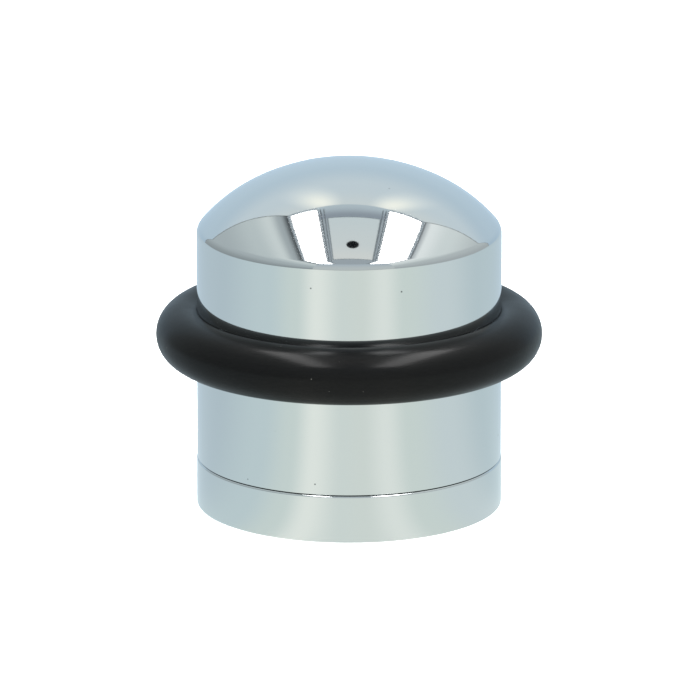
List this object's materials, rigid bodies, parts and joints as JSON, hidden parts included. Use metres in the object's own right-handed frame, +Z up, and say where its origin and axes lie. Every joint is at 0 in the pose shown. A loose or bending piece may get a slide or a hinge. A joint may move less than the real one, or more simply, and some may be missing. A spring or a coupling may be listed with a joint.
{
  "type": "floor door stop",
  "caption": "Domed round floor door stop: a hollow body with a rubber buffer ring in a groove screws down onto a base socket that is screwed to the floor.",
  "frame": {"origin": "centre of the base's underside, on the floor", "axes": "+Z up along the axis of the stop, +Y to the back, where the lock screw is"},
  "size_m": [0.0508, 0.0508, 0.046],
  "materials": {
    "chrome": "polished, bright chrome plate on turned brass",
    "rubber": "satin moulded",
    "steel": "stainless, plain"
  },
  "bodies": {
    "base": {"base_socket": "chrome"},
    "ring": {"buffer_ring": "rubber"},
    "body": {"domed_body": "chrome"},
    "lock": {"lock_screw": "steel"}
  },
  "joints": [
    {"name": "body_lift", "type": "slide", "parent": "base", "child": "ring", "axis": [0, 0, 1], "range_m": [0, 0.0111]},
    {"name": "body_turn", "type": "hinge", "parent": "ring", "child": "body", "pos_m": [0, 0, 0.02], "axis": [0, 0, 1], "range_deg": [0, 1980]},
    {"name": "lock_screw_out", "type": "slide", "parent": "body", "child": "lock", "axis": [0, 1, 0], "range_m": [0, 0.004]}
  ],
  "couplings": [
    {"joint": "body_lift", "follows": "body_turn", "m_per_rad": 0.00031831}
  ]
}
